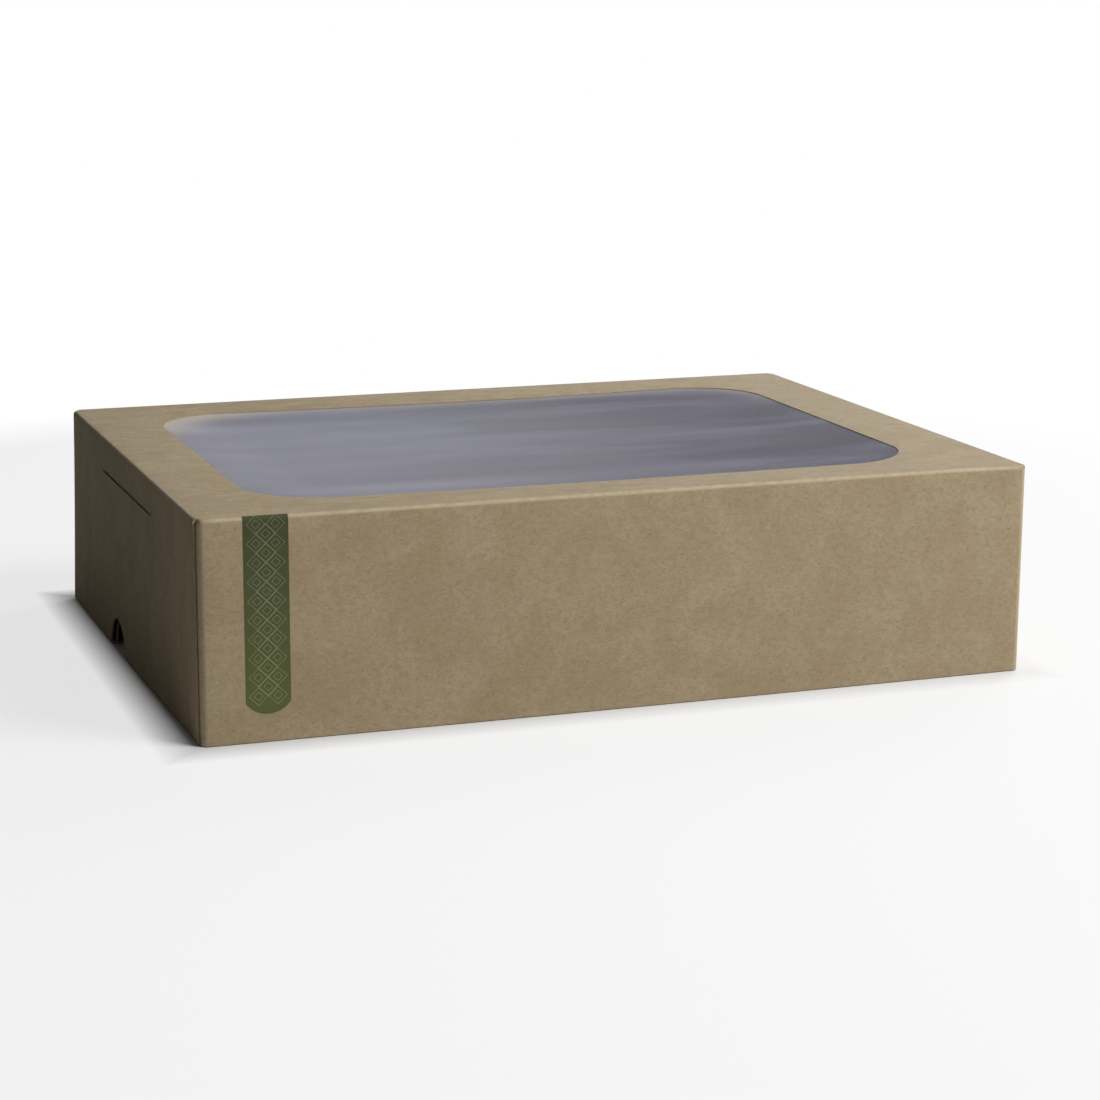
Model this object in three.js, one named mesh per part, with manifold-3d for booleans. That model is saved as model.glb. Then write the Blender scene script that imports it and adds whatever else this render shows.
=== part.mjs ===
// Sandwich platter with lid: a folded kraft tray under a full-depth lid with a film window.
// Millimetres, +Z up. The origin is the centre of the footprint, X runs along the length, and
// the printed front faces -Y.

import * as THREE from "three";
import { mergeVertices } from "three/addons/utils/BufferGeometryUtils.js";
import Module from "manifold-3d";

const wasm = await Module();
wasm.setup();

// Outside of the closed pack
const LENGTH = 310;
const DEPTH = 225;
const HEIGHT = 78.4;

// Board and folds
const BOARD = 0.7;
const LAYER_GAP = 0.3; // between two layers that lie on each other
const TOP_FOLD = 1.5; // outer radius of the folds round the top panel
const CORNER_FOLD = 2.3; // outer radius of the upright folds
const FOLD_STEPS = 6; // facets in a quarter turn

// Lid
const LID_LIFT = 0.3; // bottom edge of the lid above the table
const END_PANEL_INSET = 3.3; // from the front face to the end panel's cut edge
const CORNER_FLAP = 34; // reach of a corner flap behind the end panel
const FLAP_HEADROOM = 2.5; // from the top panel to the flap's upper edge
const WINDOW_END_MARGIN = 27.5;
const WINDOW_SIDE_MARGIN = 21;
const WINDOW_CORNER = 29;
const SLOT_DROP = 12.8; // from the top face to the middle of the lock slot
const SLOT_LENGTH = 88;
const SLOT_OFFSET = 3; // from the middle of the end panel, towards the back
const TAB_END_PLAY = 1; // between the tab and each end of its slot
const NOTCH_RADIUS = 13;
const NOTCH_OFFSET = 20; // from the middle of the end panel, towards the back

// Window film
const FILM = 0.2;
const FILM_LAP = 8; // film glued under the panel, past the opening

// Tray
const TRAY_SIDE_PLAY = 1.2; // between the tray's rim and the lid
const TRAY_END_PLAY = 1.2;
const TRAY_TAPER = 8; // how far each wall leans in from rim to bottom
const TRAY_CORNER = 5; // outer radius of the tray's upright folds
const TRAY_FLAP = 36; // length of a glued corner flap
const TRAY_FLAP_MARGIN = 4; // from the rim and the bottom to the flap's edges

// Printed band on the front panel
const INK = 0.1;
const BAND_INSET = 16.1; // from the left end to the band
const BAND_WIDTH = 15.7;
const BAND_FOOT = 10; // lowest point of the band above the table
const BAND_FOOT_SAG = 4; // rise of the arc at its foot
const LATTICE_PITCH = 6.4; // height of one diamond
const LATTICE_COLUMNS = 2;
const LATTICE_LINE = 0.5;
const LATTICE_MARGIN = 1.1; // from the lattice to the band's edge

const halfLength = LENGTH / 2;
const halfDepth = DEPTH / 2;
const topUnderside = HEIGHT - BOARD;
const layer = BOARD + LAYER_GAP; // from one layer's face to the same face of the next
const endStack = 2 * layer + BOARD; // end panel, corner flap and inner panel
const cornerX = halfLength - layer - CORNER_FOLD; // axis of the lid's upright folds
const cornerY = halfDepth - CORNER_FOLD;
const endPanelHalf = halfDepth - END_PANEL_INSET;
const slotHeight = BOARD + 2 * LAYER_GAP;
const slotZ = HEIGHT - SLOT_DROP;
const flapFoot = LID_LIFT + BOARD / 2 + layer; // a corner flap stands in the rolled foot

// Materials

const paint = (color, roughness, extra = {}) =>
  new THREE.MeshStandardMaterial({
    color,
    roughness,
    metalness: 0,
    flatShading: true,
    ...extra,
  });
const kraftOutside = paint(0x948364, 0.85);
const kraftInside = paint(0xa89472, 0.9);
const clearFilm = paint(0x8c8c94, 0.15, { transparent: true, opacity: 0.35 });
const darkInk = paint(0x464c2b, 0.7);
const paleInk = paint(0x7d8a66, 0.7);

// Solids from geometry

function solid(geometry) {
  const bare = new THREE.BufferGeometry();
  bare.setAttribute("position", geometry.getAttribute("position").clone());
  if (geometry.index) bare.setIndex(geometry.index.clone());
  const merged = mergeVertices(bare, 1e-4);
  const vertProperties = new Float32Array(merged.getAttribute("position").array);
  const corner = (i) => new THREE.Vector3().fromArray(vertProperties, 3 * i);
  const faces = [];
  let volume = 0;
  for (let i = 0; i < merged.index.count; i += 3) {
    const [a, b, c] = [0, 1, 2].map((k) => merged.index.getX(i + k));
    if (a === b || b === c || c === a) continue;
    faces.push([a, b, c]);
    volume += corner(a).dot(corner(b).cross(corner(c)));
  }
  // A mirrored piece has its faces turned inwards, so they are turned back.
  const outward = volume > 0 ? faces : faces.map(([a, b, c]) => [a, c, b]);
  const triVerts = new Uint32Array(outward.flat());
  return new wasm.Manifold(new wasm.Mesh({ numProp: 3, vertProperties, triVerts }));
}

const join = (pieces) => pieces.reduce((whole, piece) => whole.add(piece));
const cut = (whole, pieces) => pieces.reduce((rest, piece) => rest.subtract(piece), whole);

function mesh(name, manifold, material) {
  const { vertProperties, triVerts } = manifold.getMesh();
  const geometry = new THREE.BufferGeometry();
  geometry.setAttribute("position", new THREE.BufferAttribute(vertProperties, 3));
  geometry.setIndex(new THREE.BufferAttribute(triVerts, 1));
  geometry.computeVertexNormals();
  const result = new THREE.Mesh(geometry, material);
  result.name = name;
  return result;
}

// Extrusions along each axis. A section is drawn in the other two axes, in X, Y, Z order.
const X = new THREE.Vector3(1, 0, 0);
const Y = new THREE.Vector3(0, 1, 0);
const Z = new THREE.Vector3(0, 0, 1);
const planes = { x: [Y, Z, X], y: [X, Z, Y], z: [X, Y, Z] };

function extrude(shape, along, from, to) {
  const options = { depth: to - from, bevelEnabled: false, curveSegments: 24 };
  const [u, v, w] = planes[along];
  return new THREE.ExtrudeGeometry(shape, options)
    .translate(0, 0, from)
    .applyMatrix4(new THREE.Matrix4().makeBasis(u, v, w));
}

const at = (x, y, z) => new THREE.Vector3(x, y, z);

// The block between two corners given in any order
function block(a, b) {
  const [width, depth, height] = b.clone().sub(a).toArray().map(Math.abs);
  const middle = a.clone().add(b).multiplyScalar(0.5);
  return new THREE.BoxGeometry(width, depth, height).translate(middle.x, middle.y, middle.z);
}

// Section of a board whose mid-line runs through the given corners. Each corner between the
// ends has a third number, the mid-line radius of its fold.
function boardSection(corners) {
  const points = corners.map(([u, v]) => new THREE.Vector2(u, v));
  const left = [];
  const right = [];
  const station = (point, along) => {
    const normal = new THREE.Vector2(-along.y, along.x).multiplyScalar(BOARD / 2);
    left.push(point.clone().add(normal));
    right.push(point.clone().sub(normal));
  };
  const heading = (i) => points[i + 1].clone().sub(points[i]).normalize();
  station(points[0], heading(0));
  for (let i = 1; i < points.length - 1; i++) {
    const before = heading(i - 1);
    const turn = Math.atan2(before.cross(heading(i)), before.dot(heading(i)));
    const side = Math.sign(turn);
    const radius = corners[i][2];
    const reach = radius * Math.tan(Math.abs(turn) / 2);
    const start = points[i].clone().addScaledVector(before, -reach);
    const inward = new THREE.Vector2(-before.y, before.x).multiplyScalar(side * radius);
    const centre = start.clone().add(inward);
    const last = right[right.length - 1].clone().add(left[left.length - 1]).multiplyScalar(0.5);
    const first = last.distanceTo(start) < 1e-6 ? 1 : 0;
    for (let k = first; k <= FOLD_STEPS; k++) {
      const angle = (turn * k) / FOLD_STEPS;
      const origin = new THREE.Vector2();
      const along = before.clone().rotateAround(origin, angle);
      station(centre.clone().sub(inward.clone().rotateAround(origin, angle)), along);
    }
  }
  station(points[points.length - 1], heading(points.length - 2));
  return new THREE.Shape([...left, ...right.reverse()]);
}

function roundedRectangle(halfX, halfY, radius) {
  const shape = new THREE.Shape();
  shape.moveTo(halfX, -halfY + radius);
  shape.absarc(halfX - radius, halfY - radius, radius, 0, Math.PI / 2);
  shape.absarc(-halfX + radius, halfY - radius, radius, Math.PI / 2, Math.PI);
  shape.absarc(-halfX + radius, -halfY + radius, radius, Math.PI, 1.5 * Math.PI);
  shape.absarc(halfX - radius, -halfY + radius, radius, 1.5 * Math.PI, 2 * Math.PI);
  return shape;
}

// Lid

const topMid = HEIGHT - BOARD / 2;
const topFoldMid = TOP_FOLD - BOARD / 2;

// Top, front and back panels, folded from one width of board
function lidWrap() {
  const faceMid = halfDepth - BOARD / 2;
  const section = boardSection([
    [-faceMid, LID_LIFT],
    [-faceMid, topMid, topFoldMid],
    [faceMid, topMid, topFoldMid],
    [faceMid, LID_LIFT],
  ]);
  return solid(extrude(section, "x", -cornerX, cornerX));
}

// Outer end panel that hangs from the top panel, rolls under the corner flaps at its foot and
// stands up inside them
function lidEnd(side) {
  const outer = side * (halfLength - BOARD / 2);
  const inner = outer - side * 2 * layer;
  const foot = LID_LIFT + BOARD / 2;
  const strip = boardSection([
    [side * (cornerX - BOARD), topMid],
    [outer, topMid, topFoldMid],
    [outer, foot, layer],
    [inner, foot, layer],
    [inner, slotZ + BOARD / 2],
  ]);
  const tab = block(
    at(inner, SLOT_OFFSET - SLOT_LENGTH / 2 + TAB_END_PLAY, slotZ - BOARD / 2),
    at(outer, SLOT_OFFSET + SLOT_LENGTH / 2 - TAB_END_PLAY, slotZ + BOARD / 2),
  );
  return solid(extrude(strip, "y", -endPanelHalf, endPanelHalf)).add(solid(tab));
}

// One corner: the front or back panel folds round it and runs behind the end panel as a flap
function lidCorner(sideX, sideY) {
  const foldMid = CORNER_FOLD - BOARD / 2;
  const flapX = sideX * (halfLength - layer - BOARD / 2);
  const faceY = sideY * (halfDepth - BOARD / 2);
  const flapStartY = sideY * (endPanelHalf + LAYER_GAP);
  const fold = boardSection([
    [sideX * (cornerX - BOARD), faceY],
    [flapX, faceY, foldMid],
    [flapX, flapStartY],
  ]);
  const flap = block(
    at(flapX - BOARD / 2, sideY * (cornerY - BOARD / 4), flapFoot),
    at(flapX + BOARD / 2, sideY * (halfDepth - CORNER_FLAP), topUnderside - FLAP_HEADROOM),
  );
  const shoulder = boardSection([
    [sideX * (cornerX - BOARD), topMid],
    [flapX, topMid, topFoldMid],
    [flapX, HEIGHT - 2 * TOP_FOLD],
  ]);
  const low = Math.min(sideY * cornerY, sideY * endPanelHalf);
  const high = Math.max(sideY * cornerY, sideY * endPanelHalf);
  return join([
    solid(extrude(fold, "z", LID_LIFT, HEIGHT - TOP_FOLD)),
    solid(flap),
    solid(extrude(shoulder, "y", low, high)),
    lidCornerCap(sideX, sideY),
  ]);
}

// Where the top fold turns the corner: a quarter of the fold's section spun round the corner
function lidCornerCap(sideX, sideY) {
  const profile = [];
  const arc = (radius, step) => {
    const angle = ((Math.PI / 2) * step) / FOLD_STEPS;
    const r = CORNER_FOLD - TOP_FOLD + radius * Math.cos(angle);
    const z = HEIGHT - TOP_FOLD + radius * Math.sin(angle);
    profile.push(new THREE.Vector2(r, z));
  };
  profile.push(new THREE.Vector2(CORNER_FOLD, HEIGHT - 2 * TOP_FOLD));
  for (let step = 0; step <= FOLD_STEPS; step++) arc(TOP_FOLD, step);
  profile.push(new THREE.Vector2(0, HEIGHT));
  profile.push(new THREE.Vector2(0, topUnderside));
  for (let step = FOLD_STEPS; step >= 0; step--) arc(TOP_FOLD - BOARD, step);
  profile.push(new THREE.Vector2(CORNER_FOLD - BOARD, HEIGHT - 2 * TOP_FOLD));
  profile.push(profile[0].clone());
  const cap = new THREE.LatheGeometry(profile, 4 * FOLD_STEPS)
    .rotateX(Math.PI / 2)
    .translate(sideX * cornerX, sideY * cornerY, 0);
  const quarter = block(
    at(sideX * cornerX, sideY * cornerY, HEIGHT - 3 * TOP_FOLD),
    at(sideX * (halfLength + BOARD), sideY * (halfDepth + BOARD), HEIGHT + BOARD),
  );
  return solid(cap).intersect(solid(quarter));
}

const windowShape = (lap) =>
  roundedRectangle(
    halfLength - WINDOW_END_MARGIN + lap,
    halfDepth - WINDOW_SIDE_MARGIN + lap,
    WINDOW_CORNER + lap,
  );

function lidOpenings() {
  const openings = [solid(extrude(windowShape(0), "z", topUnderside - BOARD, HEIGHT + BOARD))];
  const slotDepth = BOARD + LAYER_GAP / 2; // through the outer layer only
  for (const side of [-1, 1]) {
    const slot = block(
      at(side * (halfLength + BOARD), SLOT_OFFSET - SLOT_LENGTH / 2, slotZ - slotHeight / 2),
      at(side * (halfLength - slotDepth), SLOT_OFFSET + SLOT_LENGTH / 2, slotZ + slotHeight / 2),
    );
    openings.push(solid(slot));
    const notch = new THREE.CylinderGeometry(NOTCH_RADIUS, NOTCH_RADIUS, 2 * endStack, 40)
      .rotateZ(Math.PI / 2)
      .translate(side * (halfLength - endStack / 2), NOTCH_OFFSET, LID_LIFT);
    openings.push(solid(notch));
  }
  return openings;
}

function lid() {
  const parts = [lidWrap(), lidEnd(-1), lidEnd(1)];
  for (const sideX of [-1, 1]) {
    for (const sideY of [-1, 1]) parts.push(lidCorner(sideX, sideY));
  }
  return cut(join(parts), lidOpenings());
}

// Window film, glued under the top panel
const windowFilm = () =>
  solid(extrude(windowShape(FILM_LAP), "z", topUnderside - FILM, topUnderside));

// Tray: walls lean outwards from the bottom, and the lid's top panel rests on the rim

const rimX = halfLength - endStack - TRAY_END_PLAY;
const rimY = halfDepth - BOARD - TRAY_SIDE_PLAY;

function leaning(geometry) {
  const position = geometry.getAttribute("position");
  for (let i = 0; i < position.count; i++) {
    const inset = TRAY_TAPER * (1 - position.getZ(i) / topUnderside);
    position.setX(i, position.getX(i) - Math.sign(position.getX(i)) * inset);
    position.setY(i, position.getY(i) - Math.sign(position.getY(i)) * inset);
  }
  return solid(geometry);
}

function baseTray() {
  const outside = roundedRectangle(rimX, rimY, TRAY_CORNER);
  const inside = roundedRectangle(rimX - BOARD, rimY - BOARD, TRAY_CORNER - BOARD);
  const shell = leaning(extrude(outside, "z", 0, topUnderside)).subtract(
    leaning(extrude(inside, "z", BOARD, topUnderside + BOARD)),
  );
  const flaps = [];
  for (const sideX of [-1, 1]) {
    for (const sideY of [-1, 1]) {
      const flap = block(
        at(sideX * (rimX - BOARD / 2), sideY * (rimY - TRAY_CORNER), BOARD + TRAY_FLAP_MARGIN),
        at(sideX * (rimX - 2 * BOARD), sideY * (rimY - TRAY_FLAP), topUnderside - TRAY_FLAP_MARGIN),
      );
      flaps.push(leaning(flap));
    }
  }
  return join([shell, ...flaps]);
}

// Printed band: a field of colour with a lattice of diamonds on it

const bandLeft = -halfLength + BAND_INSET;
const bandMiddle = bandLeft + BAND_WIDTH / 2;
const bandTop = HEIGHT - TOP_FOLD;
const bandSide = BAND_FOOT + BAND_FOOT_SAG; // where the straight sides meet the arc

function bandOutline(margin) {
  const half = BAND_WIDTH / 2 - margin;
  const radius = ((BAND_WIDTH / 2) ** 2 + BAND_FOOT_SAG ** 2) / (2 * BAND_FOOT_SAG);
  const centre = BAND_FOOT + radius;
  const angle = Math.asin(half / (radius - margin));
  const shape = new THREE.Shape();
  shape.moveTo(bandMiddle + half, bandTop - margin);
  shape.lineTo(bandMiddle - half, bandTop - margin);
  shape.absarc(bandMiddle, centre, radius - margin, 1.5 * Math.PI - angle, 1.5 * Math.PI + angle);
  return shape;
}

const printBand = () => solid(extrude(bandOutline(0), "y", -halfDepth - INK, -halfDepth));

function printLattice() {
  const inner = BAND_WIDTH - 2 * LATTICE_MARGIN;
  const columnWidth = inner / LATTICE_COLUMNS;
  const rise = bandTop - bandSide;
  const reach = Math.hypot(inner, (inner / columnWidth) * LATTICE_PITCH);
  const slope = Math.atan2(LATTICE_PITCH, columnWidth);
  const rows = Math.ceil(rise / LATTICE_PITCH) + 2 * LATTICE_COLUMNS;
  const front = -halfDepth - 1.5 * INK;
  const lines = [];
  for (let row = 0; row < rows; row++) {
    const z = bandTop - (row - LATTICE_COLUMNS / 2) * LATTICE_PITCH;
    for (const way of [-1, 1]) {
      const line = new THREE.BoxGeometry(reach, INK, LATTICE_LINE)
        .rotateY(way * slope)
        .translate(bandMiddle, front, z);
      lines.push(solid(line));
    }
  }
  const field = solid(extrude(bandOutline(LATTICE_MARGIN), "y", -halfDepth - 3 * INK, -halfDepth));
  return join(lines).intersect(field);
}

const platter = new THREE.Group();
platter.add(
  mesh("base_tray", baseTray(), kraftInside),
  mesh("lid", lid(), kraftOutside),
  mesh("window_film", windowFilm(), clearFilm),
  mesh("print_band", printBand(), darkInk),
  mesh("print_lattice", printLattice(), paleInk),
);

export default platter;
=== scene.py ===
"""Dresses the folded kraft sandwich platter and its window lid, and lights it in a pale studio."""

import logging
import math
from dataclasses import astuple, dataclass, field
from enum import Enum
from typing import Iterable

import bmesh
import bpy
from mathutils import Matrix, Vector, noise


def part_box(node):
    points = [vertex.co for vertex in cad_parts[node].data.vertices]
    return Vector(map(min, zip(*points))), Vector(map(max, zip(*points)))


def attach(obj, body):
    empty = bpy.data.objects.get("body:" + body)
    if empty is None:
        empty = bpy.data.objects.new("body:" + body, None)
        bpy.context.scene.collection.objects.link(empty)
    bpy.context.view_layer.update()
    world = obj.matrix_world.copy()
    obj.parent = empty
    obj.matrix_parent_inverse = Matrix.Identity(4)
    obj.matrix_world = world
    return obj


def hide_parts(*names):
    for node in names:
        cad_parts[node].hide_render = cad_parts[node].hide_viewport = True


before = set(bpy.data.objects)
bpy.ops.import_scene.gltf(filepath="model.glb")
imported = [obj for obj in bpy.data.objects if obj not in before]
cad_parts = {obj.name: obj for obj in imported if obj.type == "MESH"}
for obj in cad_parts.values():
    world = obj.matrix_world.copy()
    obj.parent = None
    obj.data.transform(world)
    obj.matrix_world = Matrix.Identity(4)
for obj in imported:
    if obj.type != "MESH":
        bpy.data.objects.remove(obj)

Socket = bpy.types.NodeSocket
ScreenColour = tuple[int, int, int]
LinearColour = tuple[float, float, float, float]
Size3 = tuple[float, float, float]

LOG = logging.getLogger("platter")
MM = 0.001
WHITE: LinearColour = (1.0, 1.0, 1.0, 1.0)
WELD_WITHIN = 0.002 * MM
FLAT_WITHIN = math.radians(0.4)
SHARP_FROM = math.radians(32)
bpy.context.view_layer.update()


def linear(red: int, green: int, blue: int) -> LinearColour:
    """Turns an 8-bit screen colour into the linear colour that a shader takes.

    Args:
        red: Red, 0 to 255.
        green: Green, 0 to 255.
        blue: Blue, 0 to 255.

    Returns:
        The linear colour with an alpha of 1.
    """
    def channel(value: int) -> float:
        """Turns one channel linear, by the screen's own curve."""
        share = value / 255
        return share / 12.92 if share <= 0.04045 else ((share + 0.055) / 1.055) ** 2.4
    return (channel(red), channel(green), channel(blue), 1.0)


def smooth_step(value: float, low: float, high: float) -> float:
    """Rises smoothly from 0 at low to 1 at high."""
    share = min(1.0, max(0.0, (value - low) / (high - low)))
    return share * share * (3 - 2 * share)


def direction(azimuth: float, elevation: float) -> Vector:
    """Gives the unit vector from the platter towards a viewpoint.

    Args:
        azimuth: Angle round the platter in radians, 0 in front of it.
        elevation: Angle above the floor in radians.

    Returns:
        The direction.
    """
    return Vector((math.sin(azimuth) * math.cos(elevation),
                   -math.cos(azimuth) * math.cos(elevation),
                   math.sin(elevation)))


@dataclass(frozen=True)
class Grain:
    """A noise pattern in a surface.

    Attributes:
        scale: Features per metre along X, Y and Z.
        detail: How many finer octaves it holds.
        turn: Turn about Z in degrees.
        distortion: How far it is swirled.
    """

    scale: Size3
    detail: float = 3.0
    turn: float = 0.0
    distortion: float = 0.0


@dataclass(frozen=True)
class Ramp:
    """Maps one range of values onto another and clamps the result.

    Attributes:
        low: The value that gives to_low.
        high: The value that gives to_high, which may lie below low.
        to_low: The result at the low end.
        to_high: The result at the high end.
    """

    low: float
    high: float
    to_low: float = 0.0
    to_high: float = 1.0

    def times(self, share: float) -> "Ramp":
        """Gives the same ramp with its results multiplied by a share."""
        return Ramp(self.low, self.high, self.to_low * share, self.to_high * share)


class Join(Enum):
    """How a maths node joins its factors."""

    PRODUCT = "MULTIPLY"
    LARGER = "MAXIMUM"
    SIZE = "ABSOLUTE"


class NodeSketch:
    """A short hand for building a node tree."""

    def __init__(self, tree: bpy.types.NodeTree) -> None:
        """Starts on a tree that may already hold nodes."""
        self.tree = tree

    def add(self, kind: str, **settings: object) -> bpy.types.Node:
        """Adds a node.

        Args:
            kind: The node's type, without its leading ShaderNode.
            **settings: Properties of the node, by name.

        Returns:
            The new node.
        """
        node = self.tree.nodes.new("ShaderNode" + kind)
        for name, value in settings.items():
            setattr(node, name, value)
        return node

    def link(self, source: Socket, target: Socket) -> None:
        """Joins an output to an input."""
        self.tree.links.new(source, target)

    def place(self, scale: Size3, turn: float = 0.0) -> Socket:
        """Gives the object's own coordinates, scaled and turned about Z.

        Args:
            scale: Scale along X, Y and Z, in features per metre.
            turn: Turn about Z in degrees.

        Returns:
            The vector output.
        """
        coordinates = self.add("TexCoord")
        mapping = self.add("Mapping")
        mapping.inputs["Scale"].default_value = scale
        mapping.inputs["Rotation"].default_value = (0, 0, math.radians(turn))
        self.link(coordinates.outputs["Object"], mapping.inputs["Vector"])
        return mapping.outputs["Vector"]

    def part(self, vector: Socket, axis: str) -> Socket:
        """Takes one axis out of a vector."""
        parts = self.add("SeparateXYZ")
        self.link(vector, parts.inputs[0])
        return parts.outputs[axis]

    def along(self, axis: str) -> Socket:
        """Gives the object's own coordinate along an axis, in metres."""
        return self.part(self.place((1.0, 1.0, 1.0)), axis)

    def noise(self, grain: Grain) -> Socket:
        """Draws a noise pattern in the object's coordinates.

        Args:
            grain: The pattern.

        Returns:
            The pattern's height, about 0 to 1.
        """
        pattern = self.add("TexNoise")
        pattern.inputs["Scale"].default_value = 1.0
        pattern.inputs["Detail"].default_value = grain.detail
        pattern.inputs["Distortion"].default_value = grain.distortion
        self.link(self.place(grain.scale, grain.turn), pattern.inputs["Vector"])
        return pattern.outputs["Fac"]

    def spread(self, source: Socket, ramp: Ramp) -> Socket:
        """Maps a range of values onto another.

        Args:
            source: The values.
            ramp: Both ranges.

        Returns:
            The clamped result.
        """
        node = self.add("MapRange", clamp=True)
        self.link(source, node.inputs["Value"])
        for name, value in zip(("From Min", "From Max", "To Min", "To Max"), astuple(ramp)):
            node.inputs[name].default_value = value
        return node.outputs["Result"]

    def join(self, how: Join, *factors: Socket) -> Socket:
        """Joins factors into one.

        Args:
            how: How they are joined.
            *factors: One or two factors.

        Returns:
            The result.
        """
        node = self.add("Math", operation=how.value)
        for factor, taken in zip(factors, node.inputs):
            self.link(factor, taken)
        return node.outputs[0]

    def tint(self, amount: Socket, base: Socket | LinearColour, over: LinearColour) -> Socket:
        """Lays one colour over another.

        Args:
            amount: How much of the upper colour shows.
            base: The lower colour, as an output or a colour.
            over: The upper colour.

        Returns:
            The mixed colour.
        """
        node = self.add("Mix", data_type="RGBA")
        colours = [socket for socket in node.inputs if socket.type == "RGBA"]
        self.link(amount, node.inputs[0])
        if isinstance(base, Socket):
            self.link(base, colours[0])
        else:
            colours[0].default_value = base
        colours[1].default_value = over
        return next(socket for socket in node.outputs if socket.type == "RGBA")

    def bump(self, height: Socket, distance: float, strength: float,
             below: Socket | None = None) -> Socket:
        """Raises a pattern above a surface.

        Args:
            height: The pattern's height, about 0 to 1.
            distance: What a height of 1 stands for, in metres.
            strength: How strongly the bump turns the surface, 0 to 1.
            below: The bumped surface that it lies on, if any.

        Returns:
            The surface's normal.
        """
        node = self.add("Bump")
        node.inputs["Distance"].default_value = distance
        node.inputs["Strength"].default_value = strength
        self.link(height, node.inputs["Height"])
        if below is not None:
            self.link(below, node.inputs["Normal"])
        return node.outputs["Normal"]

    def seen_directly(self) -> Socket:
        """Adds a factor that is 1 for the eye's own rays and for those of gloss and film.

        Returns:
            The factor's output.
        """
        path = self.add("LightPath")
        seen = path.outputs["Is Camera Ray"]
        for ray in ("Is Glossy Ray", "Is Transmission Ray"):
            seen = self.join(Join.LARGER, seen, path.outputs[ray])
        return seen


class MaterialSketch(NodeSketch):
    """The node tree of a new material that holds one principled shader."""

    def __init__(self, name: str) -> None:
        """Makes the material and finds its shader and its output."""
        self.material = bpy.data.materials.new(name)
        self.material.use_nodes = True
        super().__init__(self.material.node_tree)
        self.shader = self.tree.nodes["Principled BSDF"]
        self.output = self.tree.nodes["Material Output"]


class BoardSide(Enum):
    """Which surface of the board a finish is for."""

    OUTSIDE = "kraft_board_outside"
    INSIDE = "kraft_board_inside"
    CUT = "kraft_board_cut_edge"


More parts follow.
